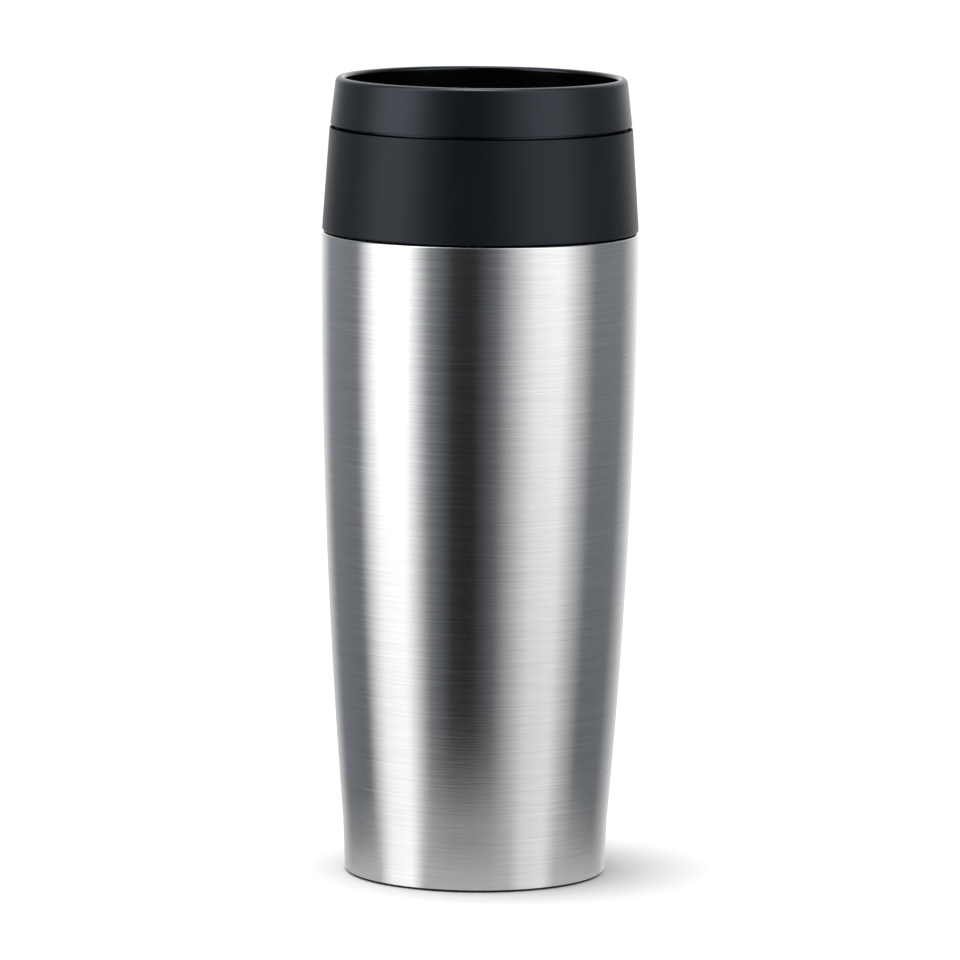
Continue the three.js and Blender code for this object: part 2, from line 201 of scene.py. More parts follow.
class Finish:
    """A material in the making."""

    def __init__(self, name, **constants):
        self.material = bpy.data.materials.new(name)
        self.material.use_nodes = True
        self.tree = self.material.node_tree
        self.shader = self.tree.nodes["Principled BSDF"]
        for socket, value in constants.items():
            self.shader.inputs[socket.replace("_", " ")].default_value = value
        self.place = self.node("ShaderNodeTexCoord", output="Object")

    def node(self, kind, settings=None, sockets=None, output=0):
        """Adds a node: its settings first, then the values or links of its sockets."""
        made = self.tree.nodes.new(kind)
        for name, value in (settings or {}).items():
            if name == "stops":
                for stop, (position, color) in zip(ramp_stops(made, len(value)), value):
                    stop.position = position
                    stop.color = color
            else:
                setattr(made, name, value)
        for name, value in (sockets or {}).items():
            self.feed(made.inputs[name], value)
        return Signal(self, made.outputs[output])

    def feed(self, socket, value):
        if isinstance(value, Signal):
            self.tree.links.new(value.socket, socket)
        else:
            socket.default_value = value

    def set(self, **inputs):
        for name, value in inputs.items():
            self.feed(self.shader.inputs[name.replace("_", " ")], value)

    def maths(self, operation, *values):
        return self.node("ShaderNodeMath", {"operation": operation}, dict(enumerate(values)))

    def noise(self, scale, detail=3.0, roughness=0.55, stretch=(1, 1, 1)):
        place = self.node("ShaderNodeMapping", {}, {"Vector": self.place, "Scale": stretch})
        sockets = {"Vector": place, "Scale": scale, "Detail": detail, "Roughness": roughness}
        return self.node("ShaderNodeTexNoise", {}, sockets)

    def blend(self, factor, first, second):
        sockets = {0: factor, 6: first, 7: second}
        return self.node("ShaderNodeMix", {"data_type": "RGBA"}, sockets, output=2)

    def window(self, value, low, high):
        """0 below a level, 1 above another and smooth between."""
        sockets = {"Value": value, "From Min": low, "From Max": high}
        return self.node("ShaderNodeMapRange", {"interpolation_type": "SMOOTHSTEP"}, sockets)

    def bump(self, height, depth, strength=1.0):
        sockets = {"Strength": strength, "Distance": depth, "Height": height}
        self.set(Normal=self.node("ShaderNodeBump", {}, sockets))


def ramp_stops(node, count):
    stops = node.color_ramp.elements
    while len(stops) < count:
        stops.new(1.0)
    return list(stops)


def tone(value, tint=(1, 1, 1)):
    return tuple(value * share for share in tint) + (1,)


def placed(name, shape, finish, body, slot, *nodes):
    """Makes a piece of a bmesh, rides it on its body and lets it stand for its CAD nodes."""
    for face in shape.faces:
        face.smooth = True
    for edge in shape.edges:
        edge.smooth = len(edge.link_faces) == 2 and edge.calc_face_angle() < FACET_ANGLE
    mesh = bpy.data.meshes.new(name)
    shape.to_mesh(mesh)
    shape.free()
    piece = bpy.data.objects.new(name, mesh)
    bpy.context.scene.collection.objects.link(piece)
    mesh.materials.append(finish)
    weighted = piece.modifiers.new("even_normals", "WEIGHTED_NORMAL")
    weighted.keep_sharp = True
    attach(piece, body)
    if nodes:
        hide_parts(*nodes)
    return piece


def liner_steel():
    """Satin electropolished steel with the faint rings of its drawing and polishing."""
    finish = Finish("liner_steel", Metallic=1.0, Anisotropic=0.35, Anisotropic_Rotation=0.25)
    rings = finish.noise(1, 4, 0.6, (18, 18, 2600))
    clouds = finish.noise(45, 3)
    finish.set(
        Base_Color=finish.blend(clouds, tone(0.56), tone(0.66, (1, 0.995, 0.985))),
        Roughness=0.27 + rings * 0.1 + clouds * 0.05,
    )
    finish.bump(rings, 0.00002, 0.25)
    return finish.material


BOW_RADIUS = 1.78               # the one long arc of the body's side
SHOULDER = 0.1642               # height at which that arc is widest
SIDE_TOP = 0.161
shell_low, shell_high, shell_radius = reach("outer_shell")


def side_radius(height):
    """Radius of the body's outside at a height on its arc."""
    below = SHOULDER - height
    return shell_radius - BOW_RADIUS + math.sqrt(BOW_RADIUS**2 - below**2)


def side(inset, low, high, count):
    """Corners up the body's side, moved in by an inset."""
    heights = [low + (high - low) * step / (count - 1) for step in range(count)]
    return [(side_radius(height) - inset, height) for height in heights]


liner_low, mouth, lip_radius = reach("inner_liner")
neck_bore = 0.034
neck_bottom = SIDE_TOP + 0.004
cup_inset = 0.0062              # wall, vacuum gap and wall, from the outside in
cup_top = side_radius(SIDE_TOP) - cup_inset
wall_bottom = 0.022
cup_floor = side_radius(liner_low) - cup_inset
lip_bottom = mouth - 0.00055
cup = turned([
    (0, liner_low + 0.0004),
    (0.016, liner_low, 0.002),
    (cup_floor, liner_low, 0.0085),
    *side(cup_inset, wall_bottom, SIDE_TOP, 24),
    (cup_top, SIDE_TOP + 0.002, 0.001),
    (neck_bore + STEEL, neck_bottom, 0.001),
    (neck_bore + STEEL, lip_bottom, 0.0002),
    (lip_radius, lip_bottom),
    (lip_radius, mouth, 0.00025),
    (neck_bore, mouth, 0.0005),
    (neck_bore, neck_bottom, 0.001),
    (cup_top - STEEL, SIDE_TOP + 0.002, 0.001),
    *reversed(side(cup_inset + STEEL, wall_bottom, SIDE_TOP, 24)),
    (cup_floor - STEEL, liner_low + STEEL, 0.008),
    (0.016, liner_low + STEEL, 0.002),
    (0, liner_low + STEEL + 0.0004),
], segments=5)
thread_top = mouth - 0.003
join(cup, thread_ridges(neck_bore + 0.0002, 0.03285, thread_top, 300 / 360))
satin_steel = liner_steel()
placed("cup_liner", cup, satin_steel, "vessel", "liner_steel", "inner_liner")


# ---- getter ----
# A sintered tablet that soaks up the last gas in the vacuum. A spot-welded steel strap holds it
# under the cup.


def sintered_metal():
    """Dull pressed powder, pitted all over."""
    finish = Finish("sintered_metal", Metallic=0.6)
    pits = finish.noise(5200, 4, 0.7)
    finish.set(Base_Color=finish.blend(pits, tone(0.12), tone(0.3)), Roughness=0.6 + pits * 0.3)
    finish.bump(pits, 0.00008, 0.7)
    return finish.material


tablet_low, tablet_high, tablet_radius = reach("getter_tablet")
tablet = turned([
    (0, tablet_low),
    (tablet_radius, tablet_low, 0.0004),
    (tablet_radius, tablet_high, 0.0004),
    (0, tablet_high),
], steps=64)
powder = sintered_metal()
placed("getter", tablet, powder, "vessel", "sealing_alloy", "getter_tablet")


def slab(low, high, bevel, segments=2):
    """A block between two corners with rounded edges."""
    shape = bmesh.new()
    bmesh.ops.create_cube(shape, size=1)
    bmesh.ops.scale(shape, verts=shape.verts, vec=Vector(high) - Vector(low))
    bmesh.ops.translate(shape, verts=shape.verts, vec=(Vector(high) + Vector(low)) / 2)
    bmesh.ops.bevel(
        shape, geom=shape.edges[:], offset=bevel, offset_type="OFFSET", segments=segments,
        profile=0.5, affect="EDGES", clamp_overlap=True, material=-1,
    )
    return shape


strap_low, strap_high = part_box("getter_strap")
strap = slab(strap_low, strap_high, 0.0001)
placed("getter_clip", strap, satin_steel, "vessel", "liner_steel", "getter_strap")


# ---- outer wall ----
# One sheet of stainless, drawn and bulged to a long bow, brushed round and round on a lathe. The
# collar of the lid comes down on its shoulder, and its neck goes up inside the lid.


def brushed_steel():
    """Fine level scratches round the body, which blur its gloss more in some rings than others."""
    finish = Finish("brushed_steel", Metallic=1.0, Anisotropic=0.6, Anisotropic_Rotation=0.25)
    hairs = finish.noise(1, 2, 0.6, (60, 60, 3300))
    rings = finish.noise(1, 2, 0.6, (30, 30, 1300))
    clouds = finish.noise(28, 2)
    lines = hairs * 0.65 + rings * 0.35
    finish.set(
        Base_Color=finish.blend(lines, tone(0.5), tone(0.81, (0.995, 1, 0.995))),
        Roughness=0.1 + hairs * 0.12 + rings * 0.05 + clouds * 0.04,
    )
    finish.bump(hairs, 0.00002)
    return finish.material


FINE_STEPS = 192                # faces round the pieces that are seen closest
STRAIGHT_BELOW = 0.013          # under this height the side runs straight
SHOULDER_EDGE = 0.1638          # where the body turns in under the lid
neck_radius = lip_radius
base_radius = 0.03315
outer_wall = turned([
    (base_radius, shell_low, 0.0004),
    *side(0, STRAIGHT_BELOW, SIDE_TOP, 40),
    (shell_radius, SHOULDER_EDGE, 0.0005),
    (neck_radius, SHOULDER_EDGE, 0.0005),
    (neck_radius, shell_high),
    (neck_radius - STEEL, shell_high),
    (neck_radius - STEEL, SHOULDER_EDGE - STEEL, 0.0005),
    (shell_radius - STEEL, SHOULDER_EDGE - STEEL, 0.0008),
    *reversed(side(STEEL, STRAIGHT_BELOW, SIDE_TOP, 12)),
    (base_radius - STEEL, shell_low),
], steps=FINE_STEPS)
brushed = brushed_steel()
placed("steel_body", outer_wall, brushed, "vessel", "brushed_steel", "outer_shell")


# ---- base disc and vacuum seal ----
# A pressed disc closes the outer wall from below. Brazing metal plugs the port in its dimple once
# the air is drawn out.

disc_low, disc_high, disc_radius = reach("outer_base_disc")
dimple = disc_low + 0.00195
base_disc = turned([
    (0.0015, dimple),
    (0.0065, dimple, 0.0006),
    (0.0085, disc_low, 0.0006),
    (disc_radius, disc_low, 0.0007),
    (disc_radius, disc_high),
    (disc_radius - STEEL, disc_high),
    (disc_radius - STEEL, disc_low + STEEL, 0.0005),
    (0.0088, disc_low + STEEL, 0.0006),
    (0.0068, dimple + STEEL, 0.0006),
    (0.0015, dimple + STEEL),
], steps=96)
placed("base_disc", base_disc, satin_steel, "vessel", "liner_steel", "outer_base_disc")

bead_low, bead_high, bead_radius = reach("vacuum_seal")
bead = turned([
    (0, bead_low),
    (0.0032, bead_low + 0.0001, 0.0008),
    (bead_radius, bead_low + 0.0011, 0.0003),
    (0.0013, bead_low + 0.00115),
    (0.0013, bead_high - 0.0003, 0.0003),
    (0, bead_high),
], steps=48)
placed("vacuum_bead", bead, powder, "vessel", "sealing_alloy", "vacuum_seal")


# ---- anti-slip foot ----
# A moulded disc of black silicone glued into the recess under the body, with a flat ring that
# touches the table and a shallow hollow inside it.


def black_silicone():
    """Matt rubber that picks up a little pale dust."""
    finish = Finish("black_silicone", Specular_IOR_Level=0.35)
    grain = finish.noise(2600, 3, 0.6)
    dust = finish.window(finish.noise(420, 5, 0.75), 0.6, 0.8)
    finish.set(
        Base_Color=finish.blend(dust * 0.25, tone(0.012), tone(0.12)),
        Roughness=0.62 + grain * 0.16,
    )
    finish.bump(grain, 0.00004, 0.4)
    return finish.material


foot_low, foot_high, foot_radius = reach("anti_slip_foot")
foot_hollow = foot_low + 0.0008
foot = turned([
    (0, foot_hollow),
    (0.023, foot_hollow, 0.0005),
    (0.024, foot_low, 0.0003),
    (foot_radius, foot_low, 0.00025),
    (foot_radius, foot_high),
    (0, foot_high),
])
placed("foot", foot, black_silicone(), "vessel", "black_silicone", "anti_slip_foot")


# ---- lid gasket ----
# A flat ring of grey silicone under the plug's flange. The lid squeezes it on the steel mouth as it
# is screwed down.


def grey_silicone():
    """Translucent-looking grey rubber, satin where it was pressed against the mould."""
    finish = Finish("grey_silicone", Specular_IOR_Level=0.4, Subsurface_Weight=0.08)
    finish.shader.inputs["Subsurface Radius"].default_value = (0.001, 0.001, 0.001)
    grain = finish.noise(1800, 3, 0.6)
    finish.set(
        Base_Color=finish.blend(grain, tone(0.2), tone(0.27, (1, 1.01, 1.03))),
        Roughness=0.42 + grain * 0.2,
    )
    finish.bump(grain, 0.00003, 0.3)
    return finish.material


rubber = grey_silicone()
gasket_low, gasket_high, gasket_radius = reach("lid_gasket")
gasket_bore = 0.0344
gasket = turned([
    (gasket_bore, gasket_low, 0.0003),
    (gasket_radius, gasket_low, 0.0004),
    (gasket_radius, gasket_high, 0.0004),
    (gasket_bore, gasket_high, 0.0003),
])
placed("gasket_ring", gasket, rubber, "gasket", "grey_silicone", "lid_gasket")


# ---- plug ----
# The lid's core is moulded in black polypropylene: a tube with a two-start thread, a flange over
# the mouth, and a conical seat for the valve at its bottom edge.


def moulded_black():
    """Fine spark-eroded mould texture on inner plastic."""
    finish = Finish("moulded_black", Specular_IOR_Level=0.5)
    grain = finish.noise(3400, 4, 0.65)
    patches = finish.noise(60, 3)
    finish.set(
        Base_Color=finish.blend(patches, tone(0.008), tone(0.012, (0.95, 1, 1.08))),
        Roughness=0.4 + grain * 0.12 + patches * 0.05,
    )
    finish.bump(grain, 0.00002, 0.35)
    return finish.material


inner_black = moulded_black()
plug_low, plug_high, flange_radius = reach("lid_plug")
plug_radius = 0.0324
plug_bore = 0.0302
seat_bore = 0.0286
step_height = 0.1759
flange_low = plug_high - 0.00225
plug = turned([
    (0.0298, plug_low),
    (plug_radius, plug_low, 0.0006),
    (plug_radius, flange_low, 0.0004),
    (flange_radius, flange_low, 0.0003),
    (flange_radius, plug_high, 0.0003),
    (plug_bore, plug_high, 0.0003),
    (plug_bore, step_height),
    (seat_bore, step_height, 0.0003),
    (seat_bore, plug_low + 0.0014),
])
plug_crest = neck_bore - 0.00045
join(plug, thread_ridges(plug_radius - 0.0002, plug_crest, thread_top - 0.00195, 240 / 360))
placed("screw_plug", plug, inner_black, "lid", "inner_plastic", "lid_plug")


# ---- valve housing ----
# A dry cup for the button and spring. Three spokes hang it in a ring that the drinking rim clamps
# in the plug, and the drink passes between the spokes. A bay on its front holds the latch wire.

housing_low, housing_high, _ = reach("valve_housing")
housing_radius = 0.0188
housing_bore = 0.0169
housing_floor = 0.169
floor_bottom = 0.1669
well_bore = 0.0282
ring_radius = plug_bore - 0.0001
ring_low, ring_high = 0.176, 0.1822


def loose(shape):
    """An object of a bmesh, outside the scene's pieces."""
    mesh = bpy.data.meshes.new("loose")
    shape.to_mesh(mesh)
    shape.free()
    thing = bpy.data.objects.new("loose", mesh)
    bpy.context.scene.collection.objects.link(thing)
    return thing


def combined(shape, add=(), remove=()):
    """Joins solids to a bmesh, then cuts others from it."""
    blank = loose(shape)
    tools = []
    for operation, solids in (("UNION", add), ("DIFFERENCE", remove)):
        for solid in solids:
            tools.append(loose(solid))
            step = blank.modifiers.new("step", "BOOLEAN")
            step.operation = operation
            step.object = tools[-1]
    result = bmesh.new()
    result.from_object(blank, bpy.context.evaluated_depsgraph_get())
    for thing in (blank, *tools):
        bpy.data.meshes.remove(thing.data)
    return result


stem_hole = 0.0042
seal_pocket = 0.00662
housing = turned([
    (stem_hole, floor_bottom),
    (seal_pocket, floor_bottom),
    (seal_pocket, housing_low, 0.0002),
    (0.008, housing_low, 0.0003),
    (0.008, floor_bottom, 0.0004),
    (housing_radius, floor_bottom, 0.0008),
    (housing_radius, housing_high, 0.0006),
    (housing_bore, housing_high, 0.0006),
    (housing_bore, housing_floor, 0.0006),
    (stem_hole, housing_floor, 0.0003),
], steps=96)
hanger = turned([
    (well_bore, ring_low, 0.0003),
    (ring_radius, ring_low),
    (ring_radius, ring_high),
    (well_bore, ring_high, 0.0003),
], steps=128)
spokes = []
spoke_start = housing_radius - 0.0006
spoke_end = well_bore + 0.0004
spoke_half = 0.0012
spoke_low, spoke_high = 0.1766, 0.1816
for angle in (90, 210, 330):
    spoke = slab((spoke_start, -spoke_half, spoke_low), (spoke_end, spoke_half, spoke_high), 0.0005)
    turn = Matrix.Rotation(math.radians(angle), 3, "Z")
    bmesh.ops.rotate(spoke, verts=spoke.verts, cent=(0, 0, 0), matrix=turn)
    spokes.append(spoke)
bay = slab((-0.0042, -0.021, 0.1686), (0.0042, -0.0175, 0.1846), 0.0004)
wire_pocket = slab((-0.0016, -0.0215, 0.1696), (0.003, -0.0194, 0.1832), 0.0001)
tip_slot = slab((-0.0011, -0.0196, 0.1798), (0.0026, -0.016, 0.182), 0.0001)

keyway_half = 0.00115
keyway_start = housing_bore - 0.0004
keyway_end = 0.0178
keyway_low, keyway_high = 0.1735, 0.194
keyways = [
    slab((inner, -keyway_half, keyway_low), (outer, keyway_half, keyway_high), 0.0001)
    for inner, outer in ((keyway_start, keyway_end), (-keyway_end, -keyway_start))
]

pivot = (0, -0.0185, 0.171)
pivot_radius = 0.00065
pivot_hole = bmesh.new()
bmesh.ops.create_cone(
    pivot_hole, cap_ends=True, segments=32, radius1=pivot_radius, radius2=pivot_radius, depth=0.0022,
)
level = Matrix.Rotation(math.pi / 2, 3, "X")
bmesh.ops.rotate(pivot_hole, verts=pivot_hole.verts, cent=(0, 0, 0), matrix=level)
bmesh.ops.translate(pivot_hole, verts=pivot_hole.verts, vec=pivot)

cuts = [wire_pocket, tip_slot, *keyways, pivot_hole]
housing = combined(housing, add=[hanger, *spokes, bay], remove=cuts)
placed("valve_cup", housing, inner_black, "lid", "inner_plastic", "valve_housing")

cover_low, cover_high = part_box("latch_cover")
cover = slab(cover_low, cover_high, 0.0004, segments=3)
placed("bay_cover", cover, inner_black, "lid", "inner_plastic", "latch_cover")


# ---- stem seal and its washer ----
# A grey silicone lip seal sits in the pocket under the housing's floor and keeps the drink from the
# button. A stainless washer, pressed in below, holds it there.


def ring_piece(node, bore, bevel, steps=96):
    """A turned ring that fills its CAD node's box, with rounded edges."""
    low, high, radius = reach(node)
    return turned([
        (bore, low, bevel),
        (radius, low, bevel),
        (radius, high, bevel),
        (bore, high, bevel),
    ], steps=steps)


stem_ring = ring_piece("stem_seal", 0.00408, 0.0003)
placed("stem_lip_seal", stem_ring, rubber, "lid", "grey_silicone", "stem_seal")


def drawn_steel():
    """Bright drawn wire and small turned steel."""
    finish = Finish("drawn_steel", Metallic=1.0)
    lines = finish.noise(2400, 3, 0.6)
    finish.set(
        Base_Color=finish.blend(lines, tone(0.5), tone(0.62)),
        Roughness=0.2 + lines * 0.12,
    )
    finish.bump(lines, 0.00001, 0.2)
    return finish.material


bright_steel = drawn_steel()
washer = ring_piece("seal_retainer", 0.0045, 0.00015)
placed("seal_washer", washer, bright_steel, "lid", "spring_steel", "seal_retainer")


# ---- rim seal ----
# A round-section ring of grey silicone, rolled into the groove of the drinking rim's skirt. It stops
# the drink from creeping out between rim and plug.

rim_ring = ring_piece("rim_seal", 0.0291, 0.00045, TURN_STEPS)
placed("rim_o_ring", rim_ring, rubber, "lid", "grey_silicone", "rim_seal")


# ---- return spring ----
# A stainless compression spring, wound from drawn wire. It stands on the housing's floor and pushes
# the button up, which pulls the valve shut.

WIRE_SIDES = 12


def wire_section(radius, middle_radius, height):
    """Points of a round wire's section."""
    angles = [2 * math.pi * step / WIRE_SIDES for step in range(WIRE_SIDES)]
    return [(middle_radius + radius * math.cos(a), height + radius * math.sin(a)) for a in angles]


spring_low, spring_high, spring_radius = reach("return_spring")
spring_height = spring_high - spring_low
wire_radius = 0.0006
spring_turns = 5.5
coil_radius = spring_radius - wire_radius
coil_rise = spring_height - 2 * wire_radius
wire = wire_section(wire_radius, coil_radius, spring_low + wire_radius)
coil = coiled(wire, spring_turns, coil_rise, round(spring_turns * 48))
spring = placed("button_spring", coil, bright_steel, "lid", "spring_steel", "return_spring")
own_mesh(spring)


# ---- collar ----
# The lower ring of the lid, moulded in black plastic and coated with a satin soft-touch paint. It
# is gripped to unscrew the lid and comes down over the neck to the steel's shoulder.

PAINT_EDGE = 0.0001             # distance over which the paint ends


def painted(name, specular, roughness, inner=0.0, low=0.0, bare=0.1):
    """Satin soft-touch coat. Nearer the axis than a radius, or under a height, the plastic is bare, of
    a darker near black and with a roughness of its own. Where that bare part lies in the seam between
    the lid's rings, its darker colour is painted shade.
    """
    finish = Finish(name, Specular_IOR_Level=specular, Specular_Tint=tone(1, (0.86, 1, 1.15)))
    flat = finish.node("ShaderNodeMapping", {}, {"Vector": finish.place, "Scale": (1, 1, 0)})
    out = finish.node("ShaderNodeVectorMath", {"operation": "LENGTH"}, {0: flat}, output=1)
    height = finish.node("ShaderNodeSeparateXYZ", {}, {"Vector": finish.place}, output=2)
    # Bare plastic is darker than the coat. In the seam between the rings that darkness is painted
    # shade.
    paint_and_seam_shade = finish.window(out, inner, inner + PAINT_EDGE) * finish.window(height, low, low + PAINT_EDGE)
    grain = finish.noise(5200, 3, 0.7)
    marks = finish.noise(70, 4, 0.6)
    coat = finish.blend(marks, tone(0.0045, (0.8, 1, 1.5)), tone(0.0066, (0.8, 1, 1.45)))
    finish.set(
        Base_Color=finish.blend(paint_and_seam_shade, tone(0.001, (0.85, 1, 1.5)), coat),
        Roughness=bare + marks * 0.05 + paint_and_seam_shade * (roughness - bare + grain * 0.05),
    )
    finish.bump(grain * paint_and_seam_shade, 0.00001, 0.35)
    return finish.material


collar_low, collar_high, collar_radius = reach("lid_collar")
collar_foot = collar_low - 0.0002
collar_top_radius = 0.03833
collar_bore = 0.0373
ledge_bore = 0.0362             # the inner ledge, inside which the rim's spigot stands
ledge_top = collar_high - 0.0009
ledge_bottom = collar_high - 0.003
collar = turned([
    (0.0377, collar_foot, 0.0003),
    (collar_radius, collar_foot, 0.0006),
    (collar_top_radius, collar_high, 0.00025),
    (0.0375, ledge_top),
    (ledge_bore, ledge_top),
    (ledge_bore, ledge_bottom),
    (collar_bore, ledge_bottom),
    (collar_bore, collar_low + 0.0006),
], steps=FINE_STEPS, segments=5)
# Inside its top edge the collar is bare and darker: painted shade in the seam under the rim, and bare
# plastic in its bore.
collar_paint = painted("collar_paint", specular=0.27, roughness=0.31, inner=0.0379, bare=0.85)
placed("collar", collar, collar_paint, "lid", "soft_touch_black", "lid_collar")


# ---- drinking rim ----
# The upper ring of the lid, from which the drink is sipped anywhere round. Its lip is full and
# rounded, and inside it falls as a funnel to the well round the valve housing.

rim_low, rim_top, rim_radius = reach("drinking_rim")
skirt_radius = plug_bore - 0.00015
groove_radius = 0.029
groove_low, groove_high = 0.1837, 0.1855
shelf = 0.1872
cored_top = 0.1904              # the rim is cored out from below up to here
spigot_radius = ledge_bore - 0.0003
rim_foot = 0.191
rim = turned([
    (well_bore, rim_low, 0.0003),
    (skirt_radius, rim_low, 0.0003),
    (skirt_radius, groove_low),
    (groove_radius, groove_low),
    (groove_radius, groove_high),
    (skirt_radius, groove_high),
    (skirt_radius, shelf),
    (0.0314, shelf),
    (0.034, cored_top),
    (0.0343, cored_top),
    (0.0343, shelf),
    (spigot_radius, shelf),
    (spigot_radius, rim_foot),
    (rim_radius, rim_foot, 0.00025),
    (0.0368, rim_top, 0.0011),
    (0.0345, rim_top, 0.0009),
    (0.0344, 0.1942, 0.0018),
    (0.0326, 0.1906, 0.0015),
    (well_bore, 0.1866, 0.0008),
], steps=FINE_STEPS, segments=6)
# Under its foot the rim is bare and darker, which is painted shade in the seam over the collar. Inside
# the lip it is bare and polished.
rim_paint = painted("rim_paint", specular=0.36, roughness=0.25, inner=0.0353, low=rim_foot + 0.00002)
placed("lip_ring", rim, rim_paint, "lid", "rim_black", "drinking_rim")


# ---- button ----
# A cup with a boss for the stem. It is pressed to open the valve and pressed again to close it.
# A polished disc is let into its top.

button_low, button_high, _ = reach("button_cap")
button_radius = 0.0166
button_bore = 0.0144
button_foot = 0.1792
underside = 0.1912
boss_radius, boss_bore = 0.0062, 0.0041
boss_depth = 0.1882
inlay_low, inlay_high, inlay_radius = reach("button_inlay")
recess = inlay_low - 0.00005
button = turned([
    (0, boss_depth),
    (boss_bore, boss_depth),
    (boss_bore, button_low, 0.0002),
    (boss_radius, button_low, 0.0002),
    (boss_radius, underside, 0.0004),
    (button_bore, underside, 0.0004),
    (button_bore, button_foot),
    (button_radius, button_foot, 0.0003),
    (button_radius, button_high, 0.0008),
    (0.0136, button_high, 0.0002),
    (0.0134, recess),
    (0, recess),
], steps=96)
keys = [
    slab((inner, -0.0008, 0.18), (outer, 0.0008, 0.189), 0.0002)
    for inner, outer in ((0.016, 0.0175), (-0.0175, -0.016))
]
LATCH_TIP = 0.181               # height of the wire's tip at rest, from which the track is laid out
TRACK_FLOOR = 0.0155            # how far the track's floor is from the axis


def prism(corners):
    """A solid with an outline of (x, height above the tip), standing out through the button's front."""
    shape = bmesh.new()
    verts = [shape.verts.new((x, -TRACK_FLOOR, LATCH_TIP + up)) for x, up in corners]
    made = bmesh.ops.extrude_face_region(shape, geom=[shape.faces.new(verts)], use_keep_orig=True)
    moved = [vert for vert in made["geom"] if isinstance(vert, bmesh.types.BMVert)]
    bmesh.ops.translate(shape, verts=moved, vec=(0, -0.002, 0))
    bmesh.ops.recalc_face_normals(shape, faces=shape.faces)
    return shape


track = prism([
    (-0.0009, -0.0009), (0.0009, -0.0009), (0.0023, 0.0038), (0.0027, 0.006),
    (0.0027, 0.0069), (-0.003, 0.0069), (-0.003, 0.0032),
])
heart = prism([
    (-0.00075, 0.0015), (0, 0.0036), (0.0001, 0.0044),
    (-0.0007, 0.0039), (-0.0015, 0.0044), (-0.0015, 0.003),
])
button = combined(button, add=keys, remove=[combined(track, remove=[heart])])
button_paint = painted("button_paint", specular=0.3, roughness=0.25)
placed("push_button", button, button_paint, "button", "soft_touch_black", "button_cap")


def gloss_black():
    """Polished plastic with hairline scuffs."""
    finish = Finish("gloss_black", Specular_IOR_Level=0.5)
    haze = finish.noise(90, 4, 0.6)
    scuffs = finish.window(finish.noise(1, 5, 0.8, (160, 160, 2200)), 0.62, 0.78)
    finish.set(
        Base_Color=finish.blend(haze, tone(0.010, (0.9, 1, 1.2)), tone(0.014, (0.9, 1, 1.15))),
        Roughness=0.16 + haze * 0.07 + scuffs * 0.1,
    )
    finish.bump(haze, 0.00003, 0.1)
    return finish.material


inlay = turned([
    (0, inlay_low),
    (inlay_radius, inlay_low),
    (inlay_radius, inlay_high - 0.0003, 0.0002),
    (inlay_radius * 0.5, inlay_high - 0.00008),
    (0, inlay_high),
], steps=96)
placed("button_disc", inlay, gloss_black(), "button", "rim_black", "button_inlay")


# ---- valve ----
# A stem carries a disc with a silicone ring, which the spring pulls up against the plug's seat. A
# screw from below holds the disc on the stem.

stem_low, stem_high, stem_radius = reach("valve_stem")
screw_bore = 0.0016
screw_depth = 0.174
stem = turned([
    (0, screw_depth),
    (screw_bore, screw_depth),
    (screw_bore, stem_low),
    (stem_radius, stem_low, 0.0002),
    (stem_radius, stem_high, 0.0005),
    (0, stem_high),
], steps=64)
placed("stem", stem, inner_black, "button", "inner_plastic", "valve_stem")

valve_low, valve_high, valve_radius = reach("valve_disc")
seal_groove = 0.0256
seat_low, seat_high = 0.1599, 0.1617
head_bore, shank_bore = 0.0037, 0.00175
head_seat = 0.1608
disc = turned([
    (head_bore, valve_low, 0.0003),
    (valve_radius, valve_low, 0.0009),
    (valve_radius, seat_low, 0.0002),
    (seal_groove, seat_low),
    (seal_groove, seat_high),
    (valve_radius, seat_high, 0.0002),
    (valve_radius, valve_high, 0.0005),
    (shank_bore, valve_high),
    (shank_bore, head_seat),
    (head_bore, head_seat),
])
placed("valve_plate", disc, inner_black, "button", "inner_plastic", "valve_disc")

seal_low, seal_high, seal_radius = reach("valve_seal")
seal_bore, lip_bore = 0.0257, 0.02735
seal_web = seal_low + 0.0016
seal = turned([
    (seal_bore, seal_low),
    (0.0297, seal_low, 0.0003),
    (seal_radius, seal_low + 0.0013, 0.0002),
    (0.02972, seal_low + 0.00185, 0.0001),
    (0.0285, seal_high, 0.0002),
    (lip_bore, seal_high),
    (lip_bore, seal_web),
    (seal_bore, seal_web),
])
placed("valve_ring", seal, rubber, "button", "grey_silicone", "valve_seal")


# ---- small steel parts ----
# The bent latch wire, whose tip runs in the button's heart-shaped track, and the screw under the
# valve. Both are drawn stainless, and both keep the mesh of their CAD node.

for node in ("latch_pin", "valve_screw"):
    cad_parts[node].data.materials.clear()
    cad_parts[node].data.materials.append(bright_steel)


# ---- table ----
# A plain pale table of almost white laminate. It is wide enough to reach the horizon behind the mug
# from a low camera.


def pale_table():
    """Laminate with a trace of mottling and no shine."""
    finish = Finish("pale_table", Specular_IOR_Level=0.0)
    mottle = finish.noise(9, 3)
    finish.set(Base_Color=finish.blend(mottle, tone(0.9), tone(0.93)), Roughness=0.55 + mottle * 0.05)
    return finish.material


def staged(name, shape, material):
    mesh = bpy.data.meshes.new(name)
    shape.to_mesh(mesh)
    shape.free()
    thing = bpy.data.objects.new(name, mesh)
    bpy.context.scene.collection.objects.link(thing)
    mesh.materials.append(material)
    return thing


TABLE_RADIUS = 25
table = bmesh.new()
bmesh.ops.create_circle(table, cap_ends=True, segments=96, radius=TABLE_RADIUS)
staged("table", table, pale_table())


# ---- light tent ----
# A tube of cloth round the mug that only gloss sees: two wide softboxes glow through it, with a
# dark gap in front and an even glow on top, as a steel pot is lit for a catalogue. The tube's floor
# carries the bands on to the mug's foot.

